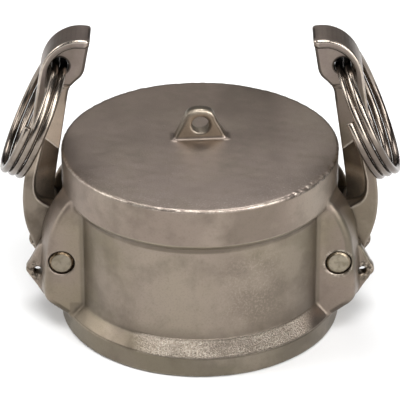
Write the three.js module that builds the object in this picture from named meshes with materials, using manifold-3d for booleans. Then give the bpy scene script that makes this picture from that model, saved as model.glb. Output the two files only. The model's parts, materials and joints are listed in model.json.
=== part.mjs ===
// Type DC dust cap for a 2 inch cam-and-groove coupling.
//
// One investment-cast cap closes the end of a male adapter. Two cam arms swing on pins between
// the cap's ears, and their noses reach through windows in the wall to grip the adapter's groove.
// A face gasket lies in a recess at the closed end, and a split ring hangs in each arm's eye.
//
// Millimetres, +Z up. The origin is the centre of the open rim, which stands on Z = 0. The arms
// lie on the X axis. Everything on one side is built once, on +X, and turned half round for -X.

import * as THREE from 'three';
import { mergeVertices } from 'three/addons/utils/BufferGeometryUtils.js';
import Module from 'manifold-3d';

const wasm = await Module();
wasm.setup();

// ---------------------------------------------------------------- driving dimensions

const GAP = 0.3; // clearance between neighbouring pieces
const TURN_SEGMENTS = 80; // facets round the cap

// cap shell
const BORE_R = 32;
const RIM_CHAMFER = 1;
const FLANGE_R = 37.8;
const FLANGE_H = 5.5;
const CONE_TOP_Z = 9.7;
const WALL_R = 34.8;
const BAND_R = 37;
const BAND_FILLET_Z = 36.2;
const BAND_Z = 39.4;
const CAP_H = 49.5;
const EDGE_ROUND = 0.9;
const END_THICKNESS = 4.5;

// face gasket of a 2 inch coupling
const GASKET_OUTER_R = 33.35;
const GASKET_INNER_R = 25.4;
const GASKET_H = 6.35;
const GASKET_EDGE = 0.5;

// ears, slots, windows and pin lugs
const PIVOT_X = 36.9;
const PIVOT_Z = 21.8;
const EAR_HALF_WIDTH = 15.6;
const SLOT_HALF_WIDTH = 6.5;
const EAR_MAX_R = 44;
const WINDOW_LOW_Z = 13.2;
const WINDOW_HIGH_Z = 32.6;
const PIN_R = 3.15;
const PIN_CHAMFER = 0.5;
const LUG_THICKNESS = 3;
const LUG_EYE_R = 1.1;
const LUG_EYE_X = 43.6;
const LUG_EYE_Z = 16.1;

// eye plate on the closed end
const EYE_PLATE_THICKNESS = 3.6;
const EYE_PLATE_BASE = 14.6;
const EYE_PLATE_TOP = 8.7;
const EYE_PLATE_HOLE_R = 2.4;
const EYE_PLATE_HOLE_Z = 4.4;
const EYE_PLATE_Y = 4.2;
const EYE_PLATE_TURN = 4.5; // degrees about Z

// cam arm, in its own plane: U outward from the pivot, W up from it
const ARM_HALF_WIDTH = SLOT_HALF_WIDTH - GAP;
const HEAD_HALF_WIDTH = 5.1;
const WEB_HALF_THICKNESS = 2;
const NOSE_REACH = 9.6;
const EYE_U = -0.2;
const EYE_W = 51.9;
const EYE_R = 2.7;

// split pull ring
const RING_R = 16.6; // mean radius of the wire's centre line
const WIRE_R = 1;
const RING_PITCH = 2.2;
const RING_TURNS = 2.7;
const RING_TWIST = { left: 24, right: -12 }; // degrees that the wire's ends are turned round the ring
const RING_STEPS = 96; // facets along the wire
const RING_LEAN = 24.3; // degrees from hanging straight down

// how far each arm stands open
const REST_OPENING = { left: 0, right: 0.8 };

// ---------------------------------------------------------------- materials

const castSteel = (color) => new THREE.MeshStandardMaterial({ color, roughness: 0.5, metalness: 0.9 });
const polishedSteel = () => new THREE.MeshStandardMaterial({ color: 0xb9b4ac, roughness: 0.2, metalness: 1 });
const turnedSteel = () => new THREE.MeshStandardMaterial({ color: 0xa39b8c, roughness: 0.35, metalness: 1 });
const blackRubber = () => new THREE.MeshStandardMaterial({ color: 0x1d1c1b, roughness: 0.85, metalness: 0 });

// ---------------------------------------------------------------- solids

function toSolid(geometry) {
  geometry.deleteAttribute('normal');
  geometry.deleteAttribute('uv');
  const merged = mergeVertices(geometry, 1e-4);
  const vertProperties = new Float32Array(merged.attributes.position.array);
  const triVerts = new Uint32Array(merged.index.array);
  return new wasm.Manifold(new wasm.Mesh({ numProp: 3, vertProperties, triVerts }));
}

function toGeometry(solid) {
  const mesh = solid.getMesh();
  const geometry = new THREE.BufferGeometry();
  geometry.setAttribute('position', new THREE.BufferAttribute(mesh.vertProperties, 3));
  geometry.setIndex(new THREE.BufferAttribute(mesh.triVerts, 1));
  geometry.computeVertexNormals();
  return geometry;
}

// A closed profile of [radius, height] pairs, turned round the Z axis.
function turned(profile, segments = TURN_SEGMENTS) {
  const points = profile.map(([r, z]) => new THREE.Vector2(r, z));
  points.push(points[0].clone());
  return toSolid(new THREE.LatheGeometry(points, segments).rotateX(Math.PI / 2));
}

// A shape drawn in the XZ plane, with its thickness along Y from y0 to y1.
function plate(shape, y0, y1, curveSegments = 10) {
  const options = { depth: y1 - y0, bevelEnabled: false, curveSegments };
  const geometry = new THREE.ExtrudeGeometry(shape, options);
  return toSolid(geometry.rotateX(Math.PI / 2).translate(0, y1, 0));
}

// The same, from a slope y = floorAt(x, z) up to y = top.
function slopedPlate(shape, floorAt, top) {
  const geometry = new THREE.ExtrudeGeometry(shape, { depth: 1, bevelEnabled: false, curveSegments: 10 });
  geometry.rotateX(Math.PI / 2).translate(0, 1, 0);
  const position = geometry.attributes.position;
  for (let i = 0; i < position.count; i += 1) {
    const onFloor = position.getY(i) < 0.5;
    position.setY(i, onFloor ? floorAt(position.getX(i), position.getZ(i)) : top);
  }
  return toSolid(geometry);
}

// A closed polygon of [x, z] pairs as a shape.
function polygon(corners) {
  return new THREE.Shape(corners.map(([x, z]) => new THREE.Vector2(x, z)));
}

function box(low, high) {
  const size = high.map((value, i) => value - low[i]);
  const centre = high.map((value, i) => (value + low[i]) / 2);
  return toSolid(new THREE.BoxGeometry(...size).translate(...centre));
}

// A round bar along Y, centred on x, z.
function crossBar(radius, halfLength, x, z, segments = 32) {
  return toSolid(new THREE.CylinderGeometry(radius, radius, 2 * halfLength, segments).translate(x, 0, z));
}

function halfTurn(solid) {
  return solid.rotate([0, 0, 180]);
}

function mirroredY(solid) {
  return solid.mirror([0, 1, 0]);
}

// ---------------------------------------------------------------- cap

// The outside of the casting as it would come off a lathe, and the bore and gasket recess in it.
function capShell() {
  const ceiling = CAP_H - END_THICKNESS;
  const recessR = GASKET_OUTER_R + GAP;
  const ledge = ceiling - GASKET_H - 2 * GAP;
  return turned([
    [0, ceiling],
    [recessR, ceiling],
    [recessR, ledge],
    [BORE_R, ledge],
    [BORE_R, RIM_CHAMFER],
    [BORE_R + RIM_CHAMFER, 0],
    [FLANGE_R - EDGE_ROUND / 2, 0],
    [FLANGE_R, EDGE_ROUND / 2],
    [FLANGE_R, FLANGE_H],
    [WALL_R + 0.4, CONE_TOP_Z - 0.3],
    [WALL_R, CONE_TOP_Z + 0.6],
    [WALL_R, BAND_FILLET_Z],
    [BAND_R - 0.6, BAND_Z - 1.2],
    [BAND_R, BAND_Z],
    [BAND_R, CAP_H - EDGE_ROUND],
    [BAND_R - EDGE_ROUND * 0.3, CAP_H - EDGE_ROUND * 0.3],
    [BAND_R - EDGE_ROUND, CAP_H],
    [0, CAP_H],
  ]);
}

// The pair of ears on +X: a swollen collar round the cap, kept only beside the arm's slot.
function earPair() {
  const inside = WALL_R - 0.6;
  const collar = turned([
    [inside, 3],
    [FLANGE_R - 2.6, 3.2],
    [FLANGE_R, 5],
    [FLANGE_R + 4.2, 8.4],
    [EAR_MAX_R - 0.8, 9.7],
    [EAR_MAX_R, 11.6],
    [EAR_MAX_R + 0.1, 15.5],
    [EAR_MAX_R - 0.6, 23.5],
    [EAR_MAX_R - 1.2, 28],
    [EAR_MAX_R - 2, 31.6],
    [EAR_MAX_R - 4.6, 37.4],
    [BAND_R + 0.4, BAND_Z + 0.8],
    [inside, BAND_Z + 0.8],
  ]);
  const ear = box([20, SLOT_HALF_WIDTH, 0], [50, EAR_HALF_WIDTH, CAP_H]);
  const upperEar = collar.intersect(ear);
  return upperEar.add(mirroredY(upperEar));
}

// A small plate at the slot's edge with an eye for a safety pin.
function pinLug() {
  const outline = new THREE.Shape();
  outline.moveTo(40, 24);
  outline.lineTo(43, 24);
  outline.lineTo(46, 18.2);
  outline.quadraticCurveTo(47.7, 16.4, 46.1, 14.6);
  outline.lineTo(42, 8.2);
  outline.lineTo(39, 8.2);
  return plate(outline, SLOT_HALF_WIDTH, SLOT_HALF_WIDTH + LUG_THICKNESS);
}

// The upright plate on the closed end, with an eye for a chain.
function eyePlate() {
  const base = CAP_H - 0.5;
  const top = CAP_H + EYE_PLATE_TOP;
  const half = EYE_PLATE_BASE / 2;
  const shoulder = EYE_PLATE_HOLE_R + 1.8;
  const holeZ = CAP_H + EYE_PLATE_HOLE_Z;
  const outline = new THREE.Shape();
  outline.moveTo(-half, base);
  outline.lineTo(half, base);
  outline.lineTo(half - 0.6, CAP_H + 1);
  outline.lineTo(shoulder, holeZ + 1.6);
  outline.quadraticCurveTo(shoulder - 0.5, top, 0, top);
  outline.quadraticCurveTo(-shoulder + 0.5, top, -shoulder, holeZ + 1.6);
  outline.lineTo(-half + 0.6, CAP_H + 1);
  const upright = plate(outline, -EYE_PLATE_THICKNESS / 2, EYE_PLATE_THICKNESS / 2);
  const eye = crossBar(EYE_PLATE_HOLE_R, EYE_PLATE_THICKNESS, 0, holeZ, 24);
  return upright.subtract(eye).rotate([0, 0, EYE_PLATE_TURN]).translate([0, EYE_PLATE_Y, 0]);
}

function capBody() {
  const side = earPair().add(pinLug()).add(mirroredY(pinLug()));
  const window = box([BORE_R - 4, -SLOT_HALF_WIDTH, WINDOW_LOW_Z], [BAND_R, SLOT_HALF_WIDTH, WINDOW_HIGH_Z]);
  const pinHole = crossBar(PIN_R + GAP, EAR_HALF_WIDTH + 1, PIVOT_X, PIVOT_Z);
  const lugEye = crossBar(LUG_EYE_R, EAR_HALF_WIDTH - 4, LUG_EYE_X, LUG_EYE_Z, 16);
  const cuts = window.add(pinHole).add(lugEye);
  const blank = capShell().add(side).add(halfTurn(side)).add(eyePlate());
  return blank.subtract(cuts).subtract(halfTurn(cuts));
}

function gasket() {
  const top = CAP_H - END_THICKNESS - GAP;
  const bottom = top - GASKET_H;
  return turned([
    [GASKET_INNER_R, bottom + GASKET_EDGE],
    [GASKET_INNER_R + GASKET_EDGE, bottom],
    [GASKET_OUTER_R - GASKET_EDGE, bottom],
    [GASKET_OUTER_R, bottom + GASKET_EDGE],
    [GASKET_OUTER_R, top - GASKET_EDGE],
    [GASKET_OUTER_R - GASKET_EDGE, top],
    [GASKET_INNER_R + GASKET_EDGE, top],
    [GASKET_INNER_R, top - GASKET_EDGE],
  ], 64);
}

// ---------------------------------------------------------------- pin

function pivotPin() {
  const end = EAR_HALF_WIDTH - 0.2;
  const neck = PIN_R - PIN_CHAMFER;
  const profile = [[0, -end], [neck, -end], [PIN_R, -end + PIN_CHAMFER], [PIN_R, end - PIN_CHAMFER], [neck, end], [0, end]];
  return turned(profile, 32).rotate([90, 0, 0]);
}

// ---------------------------------------------------------------- cam arm

// The side view of the whole arm: crooked head, long back, hub and cam nose.
function armOutline() {
  const outline = new THREE.Shape();
  outline.moveTo(-8.4, 60.1);
  outline.bezierCurveTo(-2.3, 61.8, 3.8, 58, 5.1, 50.5);
  outline.lineTo(9.8, 20.2);
  outline.bezierCurveTo(10.7, 15, 10.9, 8.2, 8.6, 2.8);
  outline.quadraticCurveTo(7.6, 0.2, 7.4, -1.4);
  outline.quadraticCurveTo(7.2, -2.6, 5.8, -3);
  outline.lineTo(0.4, -4.95);
  outline.quadraticCurveTo(-4.5, -6.2, -7.4, -4.5);
  outline.quadraticCurveTo(-NOSE_REACH - 0.2, -2.8, -NOSE_REACH, 0.6);
  outline.quadraticCurveTo(-NOSE_REACH + 0.2, 4, -6.4, 4.6);
  outline.bezierCurveTo(-1.5, 5.4, 1.9, 7, 2.4, 14);
  outline.lineTo(0.5, 27.6);
  outline.lineTo(-2.1, 43.4);
  outline.quadraticCurveTo(-2.3, 45.6, -5.2, 48);
  outline.quadraticCurveTo(-6.6, 49.3, -6.9, 52);
  return outline;
}

// The arm narrows from the slot's width to the head's, seen from outside.
function armWidth() {
  const outline = polygon([
    [ARM_HALF_WIDTH, -15],
    [ARM_HALF_WIDTH, 12],
    [HEAD_HALF_WIDTH, 48],
    [HEAD_HALF_WIDTH, 70],
    [-HEAD_HALF_WIDTH, 70],
    [-HEAD_HALF_WIDTH, 48],
    [-ARM_HALF_WIDTH, 12],
    [-ARM_HALF_WIDTH, -15],
  ]);
  return plate(outline, -20, 20).rotate([0, 0, 90]);
}

// The hollow under the head's rim, down to the crease where the arm's shank begins.
function headRecess() {
  const outline = new THREE.Shape();
  outline.moveTo(-12, 57.7);
  outline.lineTo(-4.4, 58.2);
  outline.bezierCurveTo(-0.6, 57.6, 2.6, 54.6, 2.7, 51);
  outline.lineTo(3.1, 46);
  outline.lineTo(-12, 45);
  return plate(outline, WEB_HALF_THICKNESS, 10);
}

// How far a point lies inward from the line that the arm's back follows above the hub.
function fromBack(u, w) {
  return 4.9 - 0.081 * (w - 24) - u;
}

// The deep pocket behind the arm's back, above the hub. Its floor falls away towards the cap.
function shankPocket() {
  const outline = new THREE.Shape();
  outline.moveTo(-3, 24.4);
  outline.lineTo(4.3, 31.8);
  outline.lineTo(7, 20.2);
  outline.bezierCurveTo(7.4, 16.4, 7.2, 14.2, 4.6, 12.7);
  outline.lineTo(-1, 9.4);
  return slopedPlate(outline, (u, w) => 3.5 - 0.74 * fromBack(u, w), ARM_HALF_WIDTH + 3);
}

// The shank between them, which thins towards the cap and towards the head.
function shankSlope() {
  const outline = polygon([[3.1, 46.2], [4.3, 31.7], [-3, 24.2], [-8, 45.4]]);
  return slopedPlate(outline, (u, w) => 5.3 - 0.3 * fromBack(u, w) - 0.11 * (w - 27), ARM_HALF_WIDTH + 3);
}

function camArm() {
  const blank = plate(armOutline(), -ARM_HALF_WIDTH, ARM_HALF_WIDTH).intersect(armWidth());
  const hollows = headRecess().add(shankPocket()).add(shankSlope());
  const ringEye = crossBar(EYE_R, 20, EYE_U, EYE_W, 24);
  const pinHole = crossBar(PIN_R + GAP, 20, 0, 0);
  return blank.subtract(hollows).subtract(mirroredY(hollows)).subtract(ringEye).subtract(pinHole);
}

// ---------------------------------------------------------------- pull ring

// The wire's centre line. It starts on +Y above mid height, runs round the bottom to -Y and up
// through the arm's eye, and steps one pitch towards the cap with each turn.
class RingPath extends THREE.Curve {
  constructor(twist) {
    super();
    this.twist = THREE.MathUtils.degToRad(twist);
  }

  getPoint(t, target = new THREE.Vector3()) {
    const lean = THREE.MathUtils.degToRad(RING_LEAN);
    const angle = Math.PI * RING_TURNS * (2 * t - 1) + this.twist;
    const along = RING_R * (1 + Math.cos(angle));
    const across = (-RING_PITCH * angle) / (2 * Math.PI);
    const u = EYE_U + along * Math.sin(lean) + across * Math.cos(lean);
    const w = EYE_W - along * Math.cos(lean) + across * Math.sin(lean);
    return target.set(u, -RING_R * Math.sin(angle), w);
  }
}

function pullRing(twist) {
  const section = new THREE.Shape();
  section.absarc(0, 0, WIRE_R, 0, 2 * Math.PI);
  const extrudePath = new RingPath(twist);
  const options = { steps: RING_STEPS, curveSegments: 8, bevelEnabled: false, extrudePath };
  return toSolid(new THREE.ExtrudeGeometry(section, options));
}

// ---------------------------------------------------------------- assembly

function node(name, solid, material) {
  const mesh = new THREE.Mesh(toGeometry(solid), material);
  mesh.name = name;
  return mesh;
}

// The pin, and the arm that turns on it with its ring, on +X before the side is turned.
function sideAssembly(side, turn) {
  const swinging = new THREE.Group();
  swinging.rotation.y = THREE.MathUtils.degToRad(REST_OPENING[side]);
  swinging.add(node(`${side}_cam_arm`, camArm(), castSteel(0x91897d)));
  swinging.add(node(`${side}_pull_ring`, pullRing(RING_TWIST[side]), polishedSteel()));

  const atPivot = new THREE.Group();
  atPivot.position.set(PIVOT_X, 0, PIVOT_Z);
  atPivot.add(node(`${side}_pivot_pin`, pivotPin(), turnedSteel()), swinging);

  const group = new THREE.Group();
  group.rotation.z = turn;
  return group.add(atPivot);
}

const dustCap = new THREE.Group();
dustCap.add(node('cap_body', capBody(), castSteel(0x8f8678)));
dustCap.add(node('face_gasket', gasket(), blackRubber()));

dustCap.add(sideAssembly('right', 0), sideAssembly('left', Math.PI));

export default dustCap;
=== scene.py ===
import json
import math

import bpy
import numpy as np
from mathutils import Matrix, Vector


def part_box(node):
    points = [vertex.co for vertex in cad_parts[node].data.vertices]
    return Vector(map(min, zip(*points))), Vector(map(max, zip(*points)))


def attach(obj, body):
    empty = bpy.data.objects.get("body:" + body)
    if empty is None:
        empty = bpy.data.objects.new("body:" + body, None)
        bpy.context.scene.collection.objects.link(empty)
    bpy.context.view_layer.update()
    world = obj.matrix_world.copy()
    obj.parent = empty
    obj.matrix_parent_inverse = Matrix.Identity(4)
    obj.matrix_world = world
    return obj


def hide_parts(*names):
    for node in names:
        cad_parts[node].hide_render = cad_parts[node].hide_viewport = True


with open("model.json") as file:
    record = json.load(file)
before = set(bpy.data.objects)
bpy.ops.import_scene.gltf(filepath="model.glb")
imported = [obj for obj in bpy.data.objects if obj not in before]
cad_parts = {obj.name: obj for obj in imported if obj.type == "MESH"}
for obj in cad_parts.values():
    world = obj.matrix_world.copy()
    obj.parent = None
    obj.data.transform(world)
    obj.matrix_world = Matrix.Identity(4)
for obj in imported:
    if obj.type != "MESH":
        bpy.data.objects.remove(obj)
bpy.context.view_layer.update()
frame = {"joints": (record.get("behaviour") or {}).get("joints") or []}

# A cast stainless dust cap with two cam arms and their pull rings. The castings are made as
# distance fields, joined with real fillets and meshed evenly. The wires are swept, and the pins
# and the gasket are turned. Shapes are drawn in millimetres. The arms, rings and pins are put in
# place by the frame's own joints.

import openvdb
from mathutils import Matrix, Vector

MM = 0.001

# ---------------------------------------------------------------- dimensions, millimetres

CELL_CAP = 0.45
CELL_ARM = 0.3

# cap
BORE_R, WALL_R, BAND_R, FLANGE_R = 32.0, 34.8, 37.0, 37.8
FLANGE_H, CONE_TOP_Z, BAND_FILLET_Z, BAND_Z, CAP_H = 5.5, 9.7, 36.2, 39.4, 49.5
LEDGE_Z, RECESS_R, CEILING_Z = 38.05, 33.65, 45.0
SLOT_HALF, EAR_HALF = 6.5, 15.6
WINDOW_Z = (13.2, 32.6)
LUG_THICKNESS, LUG_EYE = 3.0, (43.6, 16.1, 1.1)    # the eye's X, Z and radius
EYE_PLATE_Y, EYE_PLATE_TURN = 4.2, math.radians(4.5)
EYE_PLATE_HALF, EYE_PLATE_BASE_HALF, EYE_PLATE_H = 1.8, 7.3, 8.7
EYE_PLATE_HOLE = (CAP_H + 4.4, 2.3)    # its height and radius
GRAINED_X = (-18, -10, 24, 31)    # where the cone is grained: starts, full, fades, ends
BURRED_X = (22, 25, 35, 36.5)    # where the rim is nicked, in the same way

# pins
PIN_HOLE_R, PIN_HALF, PIN_SIDES = 3.5, 15.65, 56
PINS = {"right": (3.25, 0.55, 0.45), "left": (3.25, 0.6, 0.95)}    # radius, chamfer, old oil

# gasket
GASKET_INNER_R, GASKET_ROUND, GASKET_SIDES = 25.4, 0.6, 160

# arm
ARM_HALF, HEAD_HALF, WEB_HALF = 6.2, 5.1, 2.0
ARM_LOW, ARM_HIGH = (-10.2, -ARM_HALF, -6.2), (10.6, ARM_HALF, 60.6)
EYE = Vector((-0.2, 51.9))
EYE_R = 2.3
HEAD_Z = (62, 70)    # from where to where the arm becomes its polished head

# ring
RING_R, WIRE_R, RING_PITCH, RING_TURNS = 16.6, 1.0, 2.07, 2.7
WIRE_SIDES, WIRE_STEPS, WIRE_CUT = 28, 460, 0.16
RING_TWIST = {"left": math.radians(24), "right": math.radians(-12)}
RING_LEAN = math.radians(24.3)

# studio: the camera looks at a point on the cap's axis, in metres
CAMERA_LENS, CAMERA_ELEVATION = 254.0, math.radians(28.9)
CAMERA_AIM_Z, CAMERA_DISTANCE = 0.03243, 0.76
FLOOR_REACH, FLOOR_DROP = 6.0, 0.0002

SIDES = ("right", "left")
JOINTS = {joint["name"]: joint for joint in frame["joints"]}
PIVOT_X, PIVOT_Z = (abs(JOINTS["right_arm_hinge"]["pos_m"][axis]) / MM for axis in (0, 2))


# ---------------------------------------------------------------- outlines

def curve(handles, steps):
    """Points of a Bezier curve of any degree, without its first point."""
    points = []
    for i in range(1, steps + 1):
        t = i / steps
        level = [Vector(h) for h in handles]
        while len(level) > 1:
            level = [a.lerp(b, t) for a, b in zip(level, level[1:])]
        points.append(tuple(level[0]))
    return points


def outline(start, *pieces, steps=14):
    """A closed outline. A piece is the end of a line, or the handles and end of a curve."""
    points = [start]
    for piece in pieces:
        handles = [points[-1], *piece]
        points += curve(handles, 1 if len(piece) == 1 else steps)
    return points


# ---------------------------------------------------------------- distance fields

def polygon_distance(corners, u, v):
    """Distance to a closed polygon, negative inside."""
    nearest = np.full(np.broadcast(u, v).shape, 1e9)
    inside = np.zeros(nearest.shape, bool)
    for (au, av), (bu, bv) in zip(corners, corners[1:] + corners[:1]):
        eu, ev = bu - au, bv - av
        if eu == ev == 0:
            continue
        t = np.clip(((u - au) * eu + (v - av) * ev) / (eu * eu + ev * ev), 0, 1)
        nearest = np.minimum(nearest, (u - au - t * eu) ** 2 + (v - av - t * ev) ** 2)
        if ev != 0:
            inside ^= ((av > v) != (bv > v)) & (u < eu * (v - av) / ev + au)
    distance = np.sqrt(nearest)
    return np.where(inside, -distance, distance)


class Section:
    """The distance to an outline, tabled once so that any number of points can be looked up."""
    STEP = 0.1
    MARGIN = 4.0

    def __init__(self, corners, soften=0.0):
        low = np.min(corners, axis=0) - self.MARGIN
        high = np.max(corners, axis=0) + self.MARGIN
        u = np.arange(low[0], high[0], self.STEP)
        v = np.arange(low[1], high[1], self.STEP)
        self.low = low
        self.table = polygon_distance(corners, u[:, None], v[None, :])
        if soften:
            self.soften(soften)

    def soften(self, radius):
        """Rounds the outline's corners, outward and inward ones alike."""
        reach = int(3 * radius / self.STEP)
        weights = np.exp(-0.5 * (np.arange(-reach, reach + 1) * self.STEP / radius) ** 2)
        weights /= weights.sum()
        for axis in (0, 1):
            padding = [(reach, reach) if a == axis else (0, 0) for a in (0, 1)]
            padded = np.pad(self.table, padding, mode="edge")
            self.table = np.apply_along_axis(np.convolve, axis, padded, weights, mode="valid")

    def __call__(self, u, v):
        i, fu = self.place(u, 0)
        j, fv = self.place(v, 1)
        t = self.table
        near = t[i, j] * (1 - fv) + t[i, j + 1] * fv
        far = t[i + 1, j] * (1 - fv) + t[i + 1, j + 1] * fv
        return near * (1 - fu) + far * fu

    def place(self, value, axis):
        cells = (value - self.low[axis]) / self.STEP
        cells = np.clip(cells, 0, self.table.shape[axis] - 1.001)
        whole = cells.astype(int)
        return whole, cells - whole


def join(a, b, fillet):
    """Both solids, with a fillet where they meet."""
    share = np.clip(0.5 + 0.5 * (b - a) / fillet, 0, 1)
    return b + (a - b) * share - fillet * share * (1 - share)


def common(a, b, edge):
    """What both solids hold, with its new edges rounded."""
    return -join(-a, -b, edge)


def without(a, b, edge):
    """The first solid less the second, with its new edges rounded."""
    return common(a, -b, edge)


def slab(value, low, high):
    return np.abs(value - (low + high) / 2) - (high - low) / 2


def rod(u, v, centre_u, centre_v, radius):
    return np.hypot(u - centre_u, v - centre_v) - radius


def ripple(points, wavelength, seed):
    """Smooth random heights from about -1 to 1, as a sum of waves in random directions."""
    random = np.random.default_rng(seed)
    waves = 14
    heights = np.zeros(len(points))
    for _ in range(waves):
        direction = random.normal(size=3)
        direction /= np.linalg.norm(direction)
        number = 2 * math.pi / (wavelength * random.uniform(0.7, 1.4))
        heights += np.sin(points @ direction * number + random.uniform(0, 2 * math.pi))
    return heights / math.sqrt(waves / 2) / 1.6


# ---------------------------------------------------------------- meshes

def new_object(name, points, faces, smooth=True):
    """A piece from points in metres."""
    mesh = bpy.data.meshes.new(name)
    mesh.from_pydata([tuple(p) for p in points], [], [tuple(f) for f in faces])
    mesh.validate()
    mesh.update()
    if smooth:
        mesh.shade_smooth()
    piece = bpy.data.objects.new(name, mesh)
    bpy.context.scene.collection.objects.link(piece)
    return piece


def set_attribute(piece, name, values):
    attribute = piece.data.attributes.new(name, "FLOAT", "POINT")
    attribute.data.foreach_set("value", np.asarray(values, np.float32))


def gradient(field, points, reach):
    """The field's slope at the points, and how sharply its surface bends outward there."""
    slopes = []
    around = 0
    for axis in range(3):
        offset = np.zeros(3)
        offset[axis] = reach
        ahead = field(*(points + offset).T)
        behind = field(*(points - offset).T)
        slopes.append((ahead - behind) / (2 * reach))
        around = around + ahead + behind
    bend = (around - 6 * field(*points.T)) / reach ** 2
    return np.stack(slopes, axis=1), bend


def field_surface(field, low, high, cell, relief):
    """Even quads on a field's zero surface, with relief added along its normal."""
    axes = [np.arange(a - 2.5 * cell, b + 3.5 * cell, cell) for a, b in zip(low, high)]
    x, y, z = np.meshgrid(*axes, indexing="ij", sparse=True)
    grid = openvdb.FloatGrid()
    grid.copyFromArray(np.ascontiguousarray(field(x, y, z), np.float32))
    points, quads = grid.convertToQuads(0.0)
    points = points.astype(float) * cell + [axis[0] for axis in axes]
    for _ in range(3):
        slope, _bend = gradient(field, points, 0.05)
        steep = np.maximum((slope ** 2).sum(1), 0.25)
        points -= slope * (field(*points.T) / steep)[:, None]
    slope, bend = gradient(field, points, 0.5)
    normals = slope / np.maximum(np.linalg.norm(slope, axis=1), 1e-6)[:, None]
    points += normals * relief(points)[:, None]
    return points, quads[:, ::-1], bend


def casting(name, field, low, high, cell, relief, place, marks=None):
    """A cast piece, with its bend and its marks kept for the wear, grime, painted shade and painted
    highlights of its material.
    """
    points, quads, bend = field_surface(field, low, high, cell, relief)
    world = np.array([place @ Vector(p) for p in points * MM])
    if signed_volume(world, quads) < 0:
        quads = quads[:, ::-1]
    piece = new_object(name, world, quads)
    set_attribute(piece, "bend", np.clip(bend, -2, 2))
    if marks:
        for mark, share in marks(points).items():
            set_attribute(piece, mark, share)
    return piece


def signed_volume(points, quads):
    """A closed mesh's volume times 6, negative if it is inside out."""
    a, b, c, d = (points[quads[:, i]] for i in range(4))
    return (a * np.cross(b, c)).sum() + (a * np.cross(c, d)).sum()


# ---------------------------------------------------------------- cap

def cap_sections():
    shell = outline(
        (0, CEILING_Z),
        [(RECESS_R, CEILING_Z)],
        [(RECESS_R, LEDGE_Z)],
        [(BORE_R, LEDGE_Z)],
        [(BORE_R, 1)],
        [(BORE_R + 1, 0)],
        [(FLANGE_R - 0.5, 0)],
        [(FLANGE_R, 0), (FLANGE_R, 0.5)],
        [(FLANGE_R, FLANGE_H - 0.1)],
        [(FLANGE_R, FLANGE_H + 0.1), (FLANGE_R - 0.1, FLANGE_H + 0.2)],
        [(WALL_R + 0.25, CONE_TOP_Z - 0.4)],
        [(WALL_R, CONE_TOP_Z), (WALL_R, CONE_TOP_Z + 0.5)],
        [(WALL_R, BAND_FILLET_Z)],
        [(WALL_R + 0.1, BAND_FILLET_Z + 0.9), (BAND_R - 0.6, BAND_Z - 1.2)],
        [(BAND_R, BAND_Z - 0.6), (BAND_R, BAND_Z)],
        [(BAND_R, CAP_H - 0.5)],
        [(BAND_R, CAP_H), (BAND_R - 0.6, CAP_H)],
        [(0, CAP_H)],
        [(-3, CAP_H)],
        [(-3, CEILING_Z)],
        steps=5,
    )
    collar = outline(
        (WALL_R - 1.5, 3),
        [(FLANGE_R - 2.6, 3.2)],
        [(FLANGE_R, 5)],
        [(FLANGE_R + 4.2, 8.4)],
        [(FLANGE_R + 6.1, 9.6), (FLANGE_R + 6.2, 11.6)],
        [(FLANGE_R + 6.5, 15.5), (FLANGE_R + 5.8, 22), (FLANGE_R + 5, 28)],
        [(FLANGE_R + 4.6, 31.4), (FLANGE_R + 1.6, 37.4)],
        [(BAND_R + 0.4, BAND_Z + 0.8)],
        [(WALL_R - 1.5, BAND_Z + 0.8)],
        steps=10,
    )
    lug = outline(
        (40, 24),
        [(43, 24)],
        [(46, 18.2)],
        [(47.7, 16.4), (46.1, 14.6)],
        [(42, 8.2)],
        [(39, 8.2)],
    )
    half, top = EYE_PLATE_BASE_HALF, CAP_H + EYE_PLATE_H
    eye_plate = outline(
        (-half - 1, CAP_H - 3),
        [(half + 1, CAP_H - 3)],
        [(half, CAP_H)],
        [(half - 0.6, CAP_H + 1)],
        [(4.2, CAP_H + 6)],
        [(3.7, top), (0, top)],
        [(-3.7, top), (-4.2, CAP_H + 6)],
        [(-half + 0.6, CAP_H + 1)],
        [(-half, CAP_H)],
    )
    return Section(shell, 0.12), Section(collar, 0.3), Section(lug, 0.2), Section(eye_plate, 0.25)


def cap_field():
    """The cap casting: shell, ears, lugs and eye plate, then its windows, holes and eyes."""
    shell_section, collar_section, lug_section, eye_plate_section = cap_sections()
    cos_turn, sin_turn = math.cos(EYE_PLATE_TURN), math.sin(EYE_PLATE_TURN)

    def field(x, y, z):
        radius = np.hypot(x, y)
        out, across = np.abs(x), np.abs(y)
        shell = shell_section(radius, z)
        beside_slot = slab(across, SLOT_HALF, EAR_HALF) + 0 * z
        ear = common(collar_section(radius, z), np.maximum(beside_slot, 20 - out), 1.5)
        lug = common(lug_section(out, z), slab(across, SLOT_HALF, SLOT_HALF + LUG_THICKNESS), 0.6)
        ear = np.maximum(join(ear, lug, 1.0), SLOT_HALF - across)
        body = join(shell, ear, 0.9)

        plate_x = x * cos_turn + (y - EYE_PLATE_Y) * sin_turn
        plate_y = (y - EYE_PLATE_Y) * cos_turn - x * sin_turn
        thickness = slab(plate_y, -EYE_PLATE_HALF, EYE_PLATE_HALF)
        upright = common(eye_plate_section(plate_x, z), thickness, 0.8)
        chain_eye = rod(plate_x, z, 0, *EYE_PLATE_HOLE)
        body = join(body, without(upright, chain_eye, 0.6), 0.9)

        window = np.maximum(slab(across, -SLOT_HALF, SLOT_HALF), slab(z, *WINDOW_Z))
        window = np.maximum(window, slab(out, BORE_R - 4, 60))
        body = without(body, window, 0.4)
        pin_hole = np.maximum(rod(out, z, PIVOT_X, PIVOT_Z, PIN_HOLE_R), 5 - across)
        body = without(body, pin_hole, 0.35)
        return without(body, rod(out, z, *LUG_EYE) + 0 * across, 0.4)

    return field


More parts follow.
